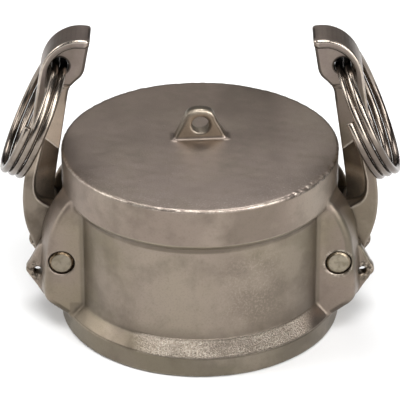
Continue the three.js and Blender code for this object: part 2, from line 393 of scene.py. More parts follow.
def cap_relief(points):
    """Slow waves of a cast surface, the cone's grain, the rim's nicks and the rough lug eyes."""
    radius = np.hypot(points[:, 0], points[:, 1])
    outside = np.clip((radius - BORE_R - 2) / 1.5, 0, 1) + (points[:, 2] > CAP_H - 1)
    outside = np.clip(outside, 0, 1)
    waves = 0.035 * ripple(points, 17, 1) + 0.008 * ripple(points, 4, 2)
    cone_span = (FLANGE_H, FLANGE_H + 0.5, CONE_TOP_Z - 0.2, CONE_TOP_Z + 0.6)
    on_cone = smooth_band(points[:, 2], *cone_span)
    grained = smooth_band(points[:, 0], *GRAINED_X)
    grain = 0.05 * ripple(points, 0.9, 3) * on_cone * grained * (radius < FLANGE_R + 0.5)
    top_edge = smooth_band(points[:, 2], CAP_H - 0.9, CAP_H - 0.5, CAP_H - 0.1, CAP_H + 0.2)
    on_rim = top_edge * smooth_band(radius, BAND_R - 1.1, BAND_R - 0.7, BAND_R + 0.1, BAND_R + 1)
    burred = smooth_band(points[:, 0], *BURRED_X) * (points[:, 1] < 0)
    nicks = on_rim * (0.05 * ripple(points, 2.4, 4) + 0.2 * burred * ripple(points, 1.3, 5))
    drilled = 0.07 * ripple(points, 1.2, 6) * near_lug_eye(points)
    return outside * (waves + grain + nicks + drilled)


def cap_marks(points):
    """The outer edge of each pin's hole, for a painted highlight, and the rough metal round each lug's
    eye.
    """
    x, y, z = points.T
    from_rim = np.abs(rod(np.abs(x), z, PIVOT_X, PIVOT_Z, PIN_HOLE_R + 0.2))
    return {
        "pin_rim": np.clip((0.6 - from_rim) / 0.3, 0, 1) * (np.abs(y) > EAR_HALF - 0.6),
        "rough": near_lug_eye(points),
    }


def near_lug_eye(points):
    """1 at the lugs' eyes and in them, 0 from 2.6 mm away."""
    x, y, z = np.abs(points.T)
    near = np.clip((2.6 - rod(x, z, *LUG_EYE)) / 1.4, 0, 1)
    return near * (y < SLOT_HALF + LUG_THICKNESS + 0.3)


def smooth_band(value, start, full, fade, end):
    """0 outside start to end, and 1 from full to fade."""
    rise = np.clip((value - start) / (full - start), 0, 1)
    fall = np.clip((end - value) / (end - fade), 0, 1)
    return rise * fall


def make_cap(material):
    low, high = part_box("cap_body")
    low, high = low / MM, high / MM
    place = Matrix.Identity(4)
    field = cap_field()
    cap = casting("cap_casting", field, low, high, CELL_CAP, cap_relief, place, cap_marks)
    return finish_piece(cap, "cap", "cap_body", material)


# ---------------------------------------------------------------- arms

def arm_sections():
    blank = outline(
        (-8.4, 60.1),
        [(-2.3, 61.8), (3.8, 58), (5.1, 50.5)],
        [(9.8, 20.2)],
        [(10.7, 15), (10.9, 8.2), (8.6, 2.8)],
        [(7.6, 0.2), (7.4, -1.4)],
        [(7.2, -2.6), (5.8, -3)],
        [(0.4, -4.95)],
        [(-4.5, -6.2), (-7.4, -4.5)],
        [(-9.8, -2.8), (-9.6, 0.6)],
        [(-9.4, 4), (-6.4, 4.6)],
        [(-1.5, 5.4), (1.9, 7), (2.4, 14)],
        [(0.5, 27.6)],
        [(-2.1, 43.4)],
        [(-2.3, 45.6), (-5.2, 48)],
        [(-6.6, 49.3), (-6.9, 52)],
    )
    head_recess = outline(
        (-14, 57.7),
        [(-4.4, 58.2)],
        [(-0.6, 57.6), (2.6, 54.6), (2.7, 51)],
        [(3.1, 46)],
        [(-14, 45)],
    )
    shank_pocket = outline(
        (-5, 22.4),
        [(4.3, 31.8)],
        [(7, 20.2)],
        [(7.4, 16.4), (7.2, 14.2), (4.6, 12.7)],
        [(-3, 8.1)],
    )
    shank = [(3.1, 46.2), (4.3, 31.7), (-3, 24.2), (-8, 45.4)]
    return Section(blank, 0.2), Section(head_recess, 0.15), Section(shank_pocket, 0.3), Section(shank)


def arm_field():
    """The arm from its pivot: u outward, v along the pin, w up towards the head."""
    blank_section, recess_section, pocket_section, shank_section = arm_sections()

    def field(u, v, w):
        across = np.abs(v)
        taper = np.clip((w - 12) / 36, 0, 1)
        width = ARM_HALF + (HEAD_HALF - ARM_HALF) * taper
        arm = common(blank_section(u, w), across - width, 0.6)
        arm = np.maximum(arm, head_corner(u, across, w, width))
        arm = without(arm, np.maximum(recess_section(u, w), WEB_HALF - across), 0.45)
        from_back = 4.9 - 0.081 * (w - 24) - u
        pocket_floor = np.maximum(3.5 - 0.74 * from_back, 0.7)
        arm = without(arm, np.maximum(pocket_section(u, w), (pocket_floor - across) * 0.8), 0.4)
        shank_side = 5.3 - 0.3 * from_back - 0.11 * (w - 27)
        arm = without(arm, np.maximum(shank_section(u, w), (shank_side - across) * 0.95), 0.4)
        arm = without(arm, rod(u, w, *EYE, EYE_R) + 0 * across, 0.3)
        return without(arm, rod(u, w, 0, 0, PIN_HOLE_R) + 0 * across, 0.3)

    return field


def head_corner(u, across, w, width):
    """The head's tip, rounded as seen from above. Lower down, a value that changes nothing."""
    turn = 0.3 + 1.1 * np.clip((w - 54) / 3, 0, 1)
    past_tip = -6.9 - 0.185 * (w - 52) + turn - u
    past_side = across - width + turn
    corner = np.hypot(np.maximum(past_tip, 0), np.maximum(past_side, 0)) - turn
    corner = corner + np.minimum(np.maximum(past_tip, past_side), 0)
    return np.where(w > 50, corner, -9)


def arm_marks(points):
    """How near each point is to the eye's lining, the recess's outline and the pocket's lip, where shade
    and a highlight are painted.
    """
    u, v, w = points.T
    _blank, recess_section, pocket_section, _shank = arm_sections()
    from_recess = np.abs(recess_section(u, w)) + 2 * np.clip(47 - w, 0, 1)
    from_lip = np.abs(pocket_section(u, w)) + 2 * (np.abs(v) < 3)
    return {
        "eye": np.clip((0.45 - rod(u, w, *EYE, EYE_R)) / 0.3, 0, 1),
        "recess": np.clip((0.85 - from_recess) / 0.4, 0, 1),
        "lip": np.clip((0.6 - from_lip) / 0.3, 0, 1),
    }


def arm_relief(points):
    """Slow waves of a cast surface, which fade out at the hub, where the arm fits its slot."""
    waves = 0.035 * ripple(points, 11, 11) + 0.008 * ripple(points, 3, 12)
    at_fit = np.clip((np.hypot(points[:, 0], points[:, 2]) - 5) / 4, 0, 1)
    return waves * at_fit


def side_frame(side):
    """A side's arm in its place: its pivot, its side of the cap and how far it stands open."""
    pivot = Vector(JOINTS[f"{side}_arm_hinge"]["pos_m"])
    eye = Vector(JOINTS[f"{side}_ring_swing"]["pos_m"]) - pivot
    half_turn = Matrix.Rotation(math.pi if side == "left" else 0, 4, "Z")
    local = half_turn.inverted() @ eye
    opening = math.atan2(local.x, local.z) - math.atan2(EYE.x, EYE.y)
    return Matrix.Translation(pivot) @ half_turn @ Matrix.Rotation(opening, 4, "Y")


def make_arm(side, material):
    place = side_frame(side)
    name = f"{side}_arm_casting"
    arm = casting(name, arm_field(), ARM_LOW, ARM_HIGH, CELL_ARM, arm_relief, place, arm_marks)
    return finish_piece(arm, f"{side}_arm", f"{side}_cam_arm", material)


# ---------------------------------------------------------------- swept and turned pieces

def ring_centre(angle):
    """A point of the wire's centre line in the arm's frame."""
    along = RING_R * (1 + math.cos(angle))
    across = -RING_PITCH * angle / (2 * math.pi)
    u = EYE.x + along * math.sin(RING_LEAN) + across * math.cos(RING_LEAN)
    w = EYE.y - along * math.cos(RING_LEAN) + across * math.sin(RING_LEAN)
    return Vector((u, -RING_R * math.sin(angle), w))


def wire_stations(twist, steps):
    """Angle along the coil and wire radius, with both cut ends closed by a small rounding."""
    first = twist - math.pi * RING_TURNS
    last = twist + math.pi * RING_TURNS
    edge = WIRE_CUT
    turns = (math.pi / 2, math.pi / 4, 0)
    end = [(edge * (1 - math.sin(t)), WIRE_R - edge * (1 - math.cos(t))) for t in turns]
    stations = [(first + back / RING_R, radius) for back, radius in end]
    middle = np.linspace(first + edge / RING_R, last - edge / RING_R, steps)[1:-1]
    stations += [(angle, WIRE_R) for angle in middle]
    stations += [(last - back / RING_R, radius) for back, radius in reversed(end)]
    return stations


def make_ring(side, material):
    """The wire, with its length, its outer side and its shaded part near the eye kept as marks."""
    place = side_frame(side)
    stations = wire_stations(RING_TWIST[side], WIRE_STEPS)
    points, along, around, shade = [], [], [], []
    for angle, radius in stations:
        centre = ring_centre(angle)
        tangent = (ring_centre(angle + 1e-3) - ring_centre(angle - 1e-3)).normalized()
        outward = (centre - ring_centre(angle + math.pi)).normalized()
        outward = (outward - tangent * outward.dot(tangent)).normalized()
        up = tangent.cross(outward)
        for k in range(WIRE_SIDES):
            turn = 2 * math.pi * k / WIRE_SIDES
            local = centre + radius * (math.cos(turn) * outward + math.sin(turn) * up)
            points.append(place @ (local * MM))
            along.append(angle * RING_R)
            around.append(math.cos(turn))
            from_eye = math.hypot(local.x - EYE.x, local.y, local.z - EYE.y)
            shade.append(min(max((5.4 - from_eye) / 1.6, 0), 1))
    faces = tube_faces(len(stations), WIRE_SIDES)
    ring = new_object(f"{side}_ring_wire", points, faces)
    flat_ends(ring)
    set_attribute(ring, "along", along)
    set_attribute(ring, "around", around)
    set_attribute(ring, "shade", shade)
    return finish_piece(ring, f"{side}_ring", f"{side}_pull_ring", material)


def tube_faces(rows, sides):
    """Quads along a tube of rows, and a face across each end."""
    faces = []
    for i in range(rows - 1):
        for k in range(sides):
            a, b = i * sides + k, i * sides + (k + 1) % sides
            faces.append((a, b, b + sides, a + sides))
    faces.append(tuple(reversed(range(sides))))
    faces.append(tuple(range((rows - 1) * sides, rows * sides)))
    return faces


def flat_ends(piece):
    for face in piece.data.polygons:
        if len(face.vertices) > 4:
            face.use_smooth = False


def turned_piece(name, profile, sides, place, closed):
    """A profile of (radius, height) points turned round Z. A closed one is a ring."""
    points = []
    for radius, height in profile:
        for k in range(sides):
            turn = 2 * math.pi * k / sides
            local = Vector((radius * math.cos(turn), radius * math.sin(turn), height))
            points.append(place @ (local * MM))
    rows = len(profile)
    if not closed:
        return new_object(name, points, tube_faces(rows, sides))
    faces = []
    for i in range(rows):
        j = (i + 1) % rows
        for k in range(sides):
            n = (k + 1) % sides
            faces.append((i * sides + k, i * sides + n, j * sides + n, j * sides + k))
    return new_object(name, points, faces)


def pin_profile(radius, chamfer):
    """Half the pin and its mirror: centre mark, end face, rounded chamfer and shank."""
    face = radius - chamfer
    top = [
        (0.1, PIN_HALF - 0.13),
        (0.25, PIN_HALF - 0.09),
        (0.42, PIN_HALF - 0.02),
    ]
    for share in (0.25, 0.5, 0.75, 0.94):
        top.append((face * share, PIN_HALF - 0.02 * share))
    top += [
        (face, PIN_HALF - 0.04),
        (face + 0.08, PIN_HALF - 0.09),
        (radius - 0.1, PIN_HALF - chamfer + 0.1),
        (radius, PIN_HALF - chamfer - 0.02),
        (radius, PIN_HALF - chamfer - 0.3),
    ]
    bottom = [(r, -height) for r, height in reversed(top)]
    return (top + [(radius, 4), (radius, -4)] + bottom)[::-1]


def make_pin(side, material):
    radius, chamfer, grime = PINS[side]
    pivot = Vector(JOINTS[f"{side}_arm_hinge"]["pos_m"])
    place = Matrix.Translation(pivot) @ Matrix.Rotation(math.pi / 2, 4, "X")
    profile = pin_profile(radius, chamfer)
    pin = turned_piece(f"{side}_pin_steel", profile, PIN_SIDES, place, False)
    oily = [grime * (r > radius - chamfer) for r, _height in profile]
    set_attribute(pin, "grime", np.repeat(oily, PIN_SIDES))
    return finish_piece(pin, "cap", f"{side}_pivot_pin", material)


def gasket_profile(low, high, inner, outer):
    """A moulded ring with rounded corners and a parting line of flash round its outside."""
    corners = [
        (outer - GASKET_ROUND, low + GASKET_ROUND, -90),
        (outer - GASKET_ROUND, high - GASKET_ROUND, 0),
        (inner + GASKET_ROUND, high - GASKET_ROUND, 90),
        (inner + GASKET_ROUND, low + GASKET_ROUND, 180),
    ]
    profile = []
    for index, (radius, height, start) in enumerate(corners):
        for step in range(6):
            turn = math.radians(start + step * 18)
            across, up = GASKET_ROUND * math.cos(turn), GASKET_ROUND * math.sin(turn)
            profile.append((radius + across, height + up))
        if index == 0:
            middle = (low + high) / 2
            profile += [(outer, middle - 0.3), (outer + 0.12, middle), (outer, middle + 0.3)]
    return profile


def make_gasket(material):
    low, high = (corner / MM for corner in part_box("face_gasket"))
    profile = gasket_profile(low.z, high.z, GASKET_INNER_R, high.x)
    place = Matrix.Identity(4)
    gasket = turned_piece("face_gasket_rubber", profile, GASKET_SIDES, place, True)
    return finish_piece(gasket, "cap", "face_gasket", material)


def finish_piece(piece, body, node, material):
    piece.data.materials.append(material)
    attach(piece, body)
    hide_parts(node)
    return piece


# ---------------------------------------------------------------- materials

class Nodes:
    """A material's node tree, with short calls for the nodes that the materials below use."""

    def __init__(self, name):
        self.material = bpy.data.materials.new(name)
        self.material.use_nodes = True
        self.tree = self.material.node_tree
        self.shader = self.tree.nodes["Principled BSDF"]
        self.coordinates = self.add("ShaderNodeTexCoord").outputs["Object"]

    def add(self, kind, **settings):
        node = self.tree.nodes.new(kind)
        for key, value in settings.items():
            setattr(node, key, value)
        return node

    def put(self, socket, value):
        if isinstance(value, bpy.types.NodeSocket):
            self.tree.links.new(value, socket)
        else:
            socket.default_value = value

    def noise(self, size_mm, detail=4.0, roughness=0.6, vector=None):
        node = self.add("ShaderNodeTexNoise")
        self.put(node.inputs["Vector"], vector or self.coordinates)
        node.inputs["Scale"].default_value = 1 / (size_mm * MM)
        node.inputs["Detail"].default_value = detail
        node.inputs["Roughness"].default_value = roughness
        return node.outputs["Fac"]

    def spots(self, size_mm):
        node = self.add("ShaderNodeTexVoronoi", feature="F1")
        self.put(node.inputs["Vector"], self.coordinates)
        node.inputs["Scale"].default_value = 1 / (size_mm * MM)
        return node.outputs["Distance"]

    def attribute(self, name):
        return self.add("ShaderNodeAttribute", attribute_name=name).outputs["Fac"]

    def math(self, operation, a, b=0.0):
        node = self.add("ShaderNodeMath", operation=operation)
        self.put(node.inputs[0], a)
        self.put(node.inputs[1], b)
        return node.outputs[0]

    def product(self, *shares):
        """The shares multiplied: 1 only where all of them are."""
        result = shares[0]
        for share in shares[1:]:
            result = self.math("MULTIPLY", result, share)
        return result

    def largest(self, *shares):
        """The largest of the shares."""
        result = shares[0]
        for share in shares[1:]:
            result = self.math("MAXIMUM", result, share)
        return result

    def span(self, value, from_low, from_high, to_low=0.0, to_high=1.0):
        """The value's place between two ends, clamped there, as a number from to_low to to_high."""
        node = self.add("ShaderNodeMapRange")
        self.put(node.inputs["Value"], value)
        node.inputs["From Min"].default_value = from_low
        node.inputs["From Max"].default_value = from_high
        node.inputs["To Min"].default_value = to_low
        node.inputs["To Max"].default_value = to_high
        return node.outputs["Result"]

    def mix(self, share, a, b):
        node = self.add("ShaderNodeMix", data_type="RGBA", blend_type="MIX")
        self.put(node.inputs["Factor"], share)
        self.put(node.inputs["A"], rgba(a))
        self.put(node.inputs["B"], rgba(b))
        return node.outputs["Result"]

    def bump(self, height, distance_mm, strength=1.0, normal=None):
        node = self.add("ShaderNodeBump")
        self.put(node.inputs["Height"], height)
        node.inputs["Distance"].default_value = distance_mm * MM
        node.inputs["Strength"].default_value = strength
        if normal:
            self.put(node.inputs["Normal"], normal)
        return node.outputs["Normal"]

    def place_mm(self):
        """X, Y, height and distance from the axis, in millimetres."""
        scaled = self.add("ShaderNodeVectorMath", operation="SCALE")
        self.put(scaled.inputs[0], self.coordinates)
        scaled.inputs["Scale"].default_value = 1 / MM
        split = self.add("ShaderNodeSeparateXYZ")
        self.put(split.inputs[0], scaled.outputs[0])
        x, y, z = split.outputs
        square = self.math("ADD", self.product(x, x), self.product(y, y))
        return x, y, z, self.math("POWER", square, 0.5)

    def between(self, value, start, full, fade, end):
        """0 outside start to end, and 1 from full to fade."""
        return self.product(self.span(value, start, full), self.span(value, end, fade))


def rgba(colour):
    return (*colour, 1.0) if isinstance(colour, tuple) and len(colour) == 3 else colour


# colours of the castings: base tones, light and dark patches, rubbed metal and grime, also used for
# painted light, shade and highlights
OLIVE, MAUVE = (0.226, 0.188, 0.138), (0.226, 0.182, 0.15)
LIGHT_PATCH, DARK = (0.28, 0.235, 0.19), (0.11, 0.09, 0.07)
BRIGHT, SHADE_AND_DIRT = (0.6, 0.53, 0.45), (0.03, 0.025, 0.02)
# the cap's colours for painted light and shade, and its closed end's tone
PAINTED_SHADE, SIDE_SHADE = (0.11, 0.096, 0.07), (0.135, 0.122, 0.092)
END_FACE, OVERHANG = (0.31, 0.254, 0.222), (0.3, 0.26, 0.2)
PLATE_FACE, PLATE_EDGE = (0.36, 0.305, 0.24), (0.19, 0.158, 0.125)
# the arms' colours for painted light and shade
PALE_SHANK, POCKET, HEAD_TOP = (0.285, 0.235, 0.187), (0.68, 0.57, 0.45), (0.2, 0.162, 0.15)
# wire, pins, rubber and floor; the wire's film colour also paints shade
WIRE_PALE, WIRE_GREY = (0.33, 0.283, 0.237), (0.22, 0.184, 0.154)
WIRE_FILM_AND_SHADE, WIRE_LOW = (0.1, 0.08, 0.068), (0.14, 0.117, 0.097)
PIN_PALE, PIN_STAIN = (0.27, 0.235, 0.18), (0.18, 0.155, 0.112)
OIL_DARK, OIL_BROWN = (0.06, 0.04, 0.022), (0.26, 0.19, 0.12)
RUBBER, RUBBER_BLOOM = (0.012, 0.012, 0.012), (0.05, 0.048, 0.045)
FLOOR_LOW, FLOOR_HIGH = (0.8, 0.8, 0.8), (0.83, 0.83, 0.83)


def cast_steel(name, grain_mm, tones):
    """Blasted investment casting: clouded tone, fine grain, edges rubbed bright, painted shade in its
    hollow corners, and the tones' painted light and shade, wear and grime.
    """
    n = Nodes(name)
    colour = n.mix(n.span(n.noise(24, 3, 0.5), 0.42, 0.58), OLIVE, MAUVE)
    colour, wear_and_highlight, shine, sand, shade_and_dirt = tones(n, colour)
    colour = n.mix(n.span(n.noise(14, 4, 0.6), 0.5, 0.64, 0, 0.45), colour, LIGHT_PATCH)
    colour = n.mix(n.span(n.noise(9, 5, 0.6), 0.5, 0.72, 0, 0.45), colour, DARK)
    colour = n.mix(n.span(n.noise(0.5, 3, 0.7), 0.5, 0.8, 0, 0.35), colour, DARK)
    # painted shade: hollow corners, where the surface bends inward, are darkened
    colour = n.mix(n.span(n.attribute("bend"), -0.12, -0.9, 0, 0.45), colour, DARK)
    # edges rubbed bright, and on the cap a painted highlight on the right pin hole's rim
    colour = n.mix(n.product(wear_and_highlight, 0.6), colour, BRIGHT)
    # painted shade and grime: shade in recesses, holes, corners and under parts, and real grime in pits
    colour = n.mix(shade_and_dirt, colour, SHADE_AND_DIRT)
    n.put(n.shader.inputs["Base Color"], colour)
    n.shader.inputs["Metallic"].default_value = 1.0

    rough = n.span(n.noise(9, 5, 0.6), 0.35, 0.7, 0.38, 0.46)
    n.put(n.shader.inputs["Roughness"], n.math("SUBTRACT", rough, n.product(wear_and_highlight, shine)))

    fine = n.bump(n.noise(grain_mm, 3, 0.65), 0.04, 0.7)
    peel = n.bump(n.noise(1.8, 3, 0.5), 0.03, 0.4, fine)
    normal = n.bump(n.span(n.spots(3.3), 0.05, 0.12), 0.06, 0.3, peel)
    if sand:
        normal = n.bump(n.product(n.noise(0.42, 2, 0.6), sand), 0.8, 1.0, normal)
    n.put(n.shader.inputs["Normal"], normal)
    return n.material


def patches(n):
    return n.span(n.noise(1.6, 6, 0.75), 0.46, 0.6)


def cap_tones(n, colour):
    """The cap's colour by place with its painted light and shade, its wear with a painted highlight, the
    most shine of rubbed metal, sand, and painted shade and grime.
    """
    place = n.place_mm()
    _x, _y, height, radius = place
    bend = n.attribute("bend")
    on_wall = n.product(n.span(radius, WALL_R + 0.9, WALL_R + 0.5), n.span(height, BAND_Z, BAND_FILLET_Z))
    colour = wall_tones(n, place, on_wall, colour)
    colour = ear_tones(n, place, bend, colour)
    colour = band_tones(n, place, colour)
    colour = end_tones(n, place, colour)
    colour = eye_plate_tones(n, place, bend, colour)
    colour = corner_tones(n, place, on_wall, colour)
    colour, sand = cone_tones(n, place, colour)
    wear_and_highlight, shade_and_dirt = cap_wear(n, place, bend)
    return colour, n.product(wear_and_highlight, patches(n)), 0.06, sand, shade_and_dirt


def wall_tones(n, place, on_wall, colour):
    """Painted light on the wall left of the middle, painted shade on its sides, and specks right of the
    middle.
    """
    x, _y, height, _radius = place
    # painted light: the wall is lighter left of the middle
    painted_light_wall = n.between(x, -24, -14, -2, 10)
    colour = n.mix(n.product(painted_light_wall, on_wall, 0.7), colour, LIGHT_PATCH)
    # painted shade: the wall's sides are darker
    painted_shade_wall = n.math("SUBTRACT", 1.0, n.between(x, -27, -15, 0, 14))
    colour = n.mix(n.product(painted_shade_wall, on_wall, 0.45), colour, PAINTED_SHADE)
    speckled = n.product(n.between(x, 2, 8, 17, 25), n.between(height, 11, 16, 31, 36), on_wall)
    specks = n.span(n.noise(0.6, 2, 0.7), 0.5, 0.62, 0, 0.55)
    return n.mix(n.product(speckled, specks), colour, LIGHT_PATCH)


def ear_tones(n, place, bend, colour):
    """Painted shade on the right ears, above all on their rounded edges."""
    x, _y, height, radius = place
    # painted shade: the right ears' upper part is darker
    right_ear = n.product(n.span(radius, WALL_R + 1.5, WALL_R + 2.5), n.span(x, 28, 33, 0, 0.3))
    upper = n.between(height, 20, 25, BAND_Z - 1, BAND_Z)
    colour = n.mix(n.product(right_ear, upper), colour, DARK)
    # painted shade: the right ears' outer rounded edges are darkened
    outer = n.product(n.span(x, 30, 34), n.span(radius, WALL_R + 3, WALL_R + 4))
    ear_edge = n.product(outer, n.between(height, 16, 20, BAND_Z - 1, BAND_Z))
    return n.mix(n.product(ear_edge, n.span(bend, 0.15, 0.5, 0, 0.8)), colour, PAINTED_SHADE)


def band_tones(n, place, colour):
    """A mauve band, with painted shade right of the middle and painted light at its right end."""
    x, _y, height, _radius = place
    colour = n.mix(n.span(height, BAND_FILLET_Z - 2, BAND_Z), colour, MAUVE)
    on_band = n.between(height, BAND_Z - 0.5, BAND_Z, CAP_H, CAP_H + 0.4)
    # painted light: the band is paler at its right end
    colour = n.mix(n.product(on_band, n.span(x, 22, 28, 0, 0.8)), colour, LIGHT_PATCH)
    # painted shade: the band is darker right of the middle
    return n.mix(n.product(on_band, n.between(x, 4, 9, 19, 24), 0.5), colour, DARK)


def end_tones(n, place, colour):
    """The closed end, painted lighter towards the front and gritty there, and painted shade on the
    flange's side.
    """
    x, y, height, radius = place
    on_end = n.span(height, CAP_H - 1, CAP_H)
    # painted light: the closed end is lighter towards the front
    colour = n.mix(n.product(on_end, n.span(y, 30, -34, 0.2, 1)), colour, END_FACE)
    gritty = n.product(n.span(radius, 26, 34), n.span(y, -8, -22))
    grit = n.product(gritty, n.span(n.noise(0.55, 2, 0.6), 0.56, 0.66, 0, 0.5))
    colour = n.mix(n.product(on_end, grit), colour, BRIGHT)
    # painted shade: the flange's side is darker, more so on the right
    on_side = n.product(n.span(height, FLANGE_H + 0.2, FLANGE_H - 0.1), n.span(x, -20, 10, 0.45, 0.7))
    return n.mix(on_side, colour, SIDE_SHADE)


def eye_plate_tones(n, place, bend, colour):
    """A plate painted pale, with painted shade on its edges and on the back of its top."""
    x, y, height, _radius = place
    on_plate = n.span(height, CAP_H + 0.6, CAP_H + 1.2)
    # painted light: the plate's face is paler
    colour = n.mix(on_plate, colour, PLATE_FACE)
    below_top = n.span(height, CAP_H + 8, CAP_H + 6.5)
    # painted shade: the plate's edges below its top are darker, less so on the left
    shaded_edge = n.product(on_plate, n.span(bend, 0.2, 0.7), below_top, n.span(x, -3, 0, 0.2, 1))
    colour = n.mix(shaded_edge, colour, PLATE_EDGE)
    behind = n.span(y, EYE_PLATE_Y - 0.9, EYE_PLATE_Y - 0.3)
    # painted shade: the back of the plate's top is dark
    return n.mix(n.product(n.span(height, CAP_H + 7.4, CAP_H + 8), behind, 0.65), colour, SHADE_AND_DIRT)


def corner_tones(n, place, on_wall, colour):
    """Painted shade in darker lines at the wall's foot and top, and painted light on the underside of the
    band above them.
    """
    _x, y, height, _radius = place
    # painted shade: a darker line at the wall's foot
    foot = n.between(height, CONE_TOP_Z - 0.6, CONE_TOP_Z - 0.2, CONE_TOP_Z + 0.8, CONE_TOP_Z + 4)
    colour = n.mix(n.product(foot, on_wall, 0.45), colour, DARK)
    beside_ears = n.span(n.math("ABSOLUTE", y), EAR_HALF + 0.2, EAR_HALF + 0.8)
    z = BAND_FILLET_Z
    # painted shadow: a dark line under the band
    shadow = n.between(height, z - 0.7, z - 0.4, z + 0.2, z + 0.7)
    colour = n.mix(n.product(shadow, beside_ears, 0.7), colour, DARK)
    # painted light: the band's underside is paler
    overhang = n.between(height, z + 0.5, z + 1, BAND_Z - 0.5, BAND_Z - 0.2)
    return n.mix(n.product(overhang, beside_ears, 0.9), colour, OVERHANG)


def cone_tones(n, place, colour):
    """The flange's cone, with painted shade at its left end, and sand grain painted paler, with painted
    sparkle over the rest.
    """
    x, _y, height, radius = place
    on_cone = n.between(height, FLANGE_H, FLANGE_H + 0.3, CONE_TOP_Z - 0.3, CONE_TOP_Z + 0.2)
    on_cone = n.product(on_cone, n.span(radius, FLANGE_R + 0.6, FLANGE_R + 0.3))
    sand = n.product(on_cone, n.between(x, *GRAINED_X))
    # painted shade: the cone's left end is darker
    colour = n.mix(n.product(on_cone, n.span(x, -19, -24, 0, 0.5)), colour, DARK)
    # painted light: the grained part is paler
    colour = n.mix(n.product(sand, 0.5), colour, LIGHT_PATCH)
    # painted highlights: bright sparkle on the grain
    glints = n.span(n.noise(0.42, 2, 0.6), 0.38, 0.62, 0.15, 0.85)
    return n.mix(n.product(sand, glints), colour, BRIGHT), sand


def cap_wear(n, place, bend):
    """Where the cap is rubbed bright, above all on its rim, with a painted highlight on the right pin
    hole's rim; and where it is darker: grime in the pits round the lug eyes, dark dashes on the burred
    rim, painted shade on the ears' feet and a darker line along the flange's upper edge.
    """
    x, y, height, radius = place
    on_rim = n.between(height, CAP_H - 1.4, CAP_H - 0.9, CAP_H + 0.2, CAP_H + 0.5)
    worn_edge = n.product(n.span(bend, 0.45, 1.3), n.span(on_rim, 0, 1, 0.25, 1.0))
    # painted highlight: a bright arc on the right pin hole's outer rim
    pin_rim = n.product(n.attribute("pin_rim"), n.span(x, -10, 10))
    rough = n.attribute("rough")
    flecks = n.product(rough, n.span(n.noise(1.1, 3, 0.7), 0.5, 0.4))
    wear_and_highlight = n.largest(worn_edge, pin_rim, flecks)

    # painted shade: the ears' rounded lower edges above the cone are darkened
    ear_foot_shade = n.product(n.span(radius, WALL_R + 1, WALL_R + 1.6), n.between(height, 5.6, 6, 9, 10.5))
    ear_foot_shade = n.product(ear_foot_shade, n.span(bend, 0.15, 0.5, 0, 0.6))
    # a darker line along the flange's upper edge, right of the middle
    flange_z = (FLANGE_H - 0.4, FLANGE_H - 0.2, FLANGE_H - 0.05, FLANGE_H + 0.1)
    flange_line = n.product(n.between(height, *flange_z), n.span(x, -5, 8, 0, 0.5))
    burr_line = n.between(height, CAP_H - 1.2, CAP_H - 0.9, CAP_H - 0.5, CAP_H - 0.2)
    burr_line = n.product(burr_line, n.span(x, 20, 24), n.span(y, 0, -4))
    burr_line = n.product(burr_line, n.span(n.noise(1.4, 3, 0.7), 0.44, 0.54, 0.1, 0.75))
    pits = n.product(rough, n.span(n.noise(0.9, 3, 0.7), 0.48, 0.6, 0, 0.85))
    return wear_and_highlight, n.largest(ear_foot_shade, flange_line, pits, burr_line)


def arm_tones(n, colour):
    """The same for an arm: darker, with painted shade on its spines, most on the left, painted light on
    the left shank and in the pockets, a painted highlight on the pockets' lips, painted shade on the
    head's top and in its eye, recess outline and web edges, and a polished head.
    """
    x, y, height, _radius = n.place_mm()
    across = n.math("ABSOLUTE", y)
    bend = n.attribute("bend")
    colour = n.mix(0.25, colour, DARK)
    # painted shade: the spines are darker, most on the left arm
    spine = n.product(n.between(height, 14, 24, 44, 52), n.span(x, -20, 20, 0.95, 0.35))
    colour = n.mix(spine, colour, DARK)
    # painted light: the left arm's shank is paler
    shank = n.between(height, 42.5, 45, 58, 66)
    colour = n.mix(n.product(shank, n.span(x, -5, 5, 1, 0)), colour, PALE_SHANK)
    # painted light: the pockets are paler
    pocket = n.product(n.between(height, 20, 26, 42.5, 45), n.span(across, 5, 4.4))
    colour = n.mix(n.product(pocket, n.span(x, -20, 20, 1, 0.8)), colour, POCKET)
    # painted shade: the head's top is darker
    colour = n.mix(n.span(height, 66, 71, 0, 0.6), colour, HEAD_TOP)
    # painted highlight: a bright line along the pockets' lips
    colour = n.mix(n.product(n.attribute("lip"), 0.5), colour, BRIGHT)

    wear_and_highlight = n.product(n.span(bend, 0.3, 1.1), n.span(height, *HEAD_Z, 0.12, 1.0))
    wear_and_highlight = n.product(wear_and_highlight, n.span(across, 3.6, 4.2), n.span(patches(n), 0, 1, 0.7, 1))
    # painted shade: the web's edges on the head are darkened
    web_edge = n.product(n.span(across, 3.4, 2.6), n.span(bend, 0.1, 0.5, 0, 0.7))
    web_edge = n.product(web_edge, n.span(height, 62, 64))
    # painted shade in the recess's outline, on the web's edges and in the eye's lining
    shade_and_dirt = n.largest(n.product(n.attribute("recess"), 0.9), web_edge, n.attribute("eye"))
    return colour, wear_and_highlight, 0.24, None, shade_and_dirt


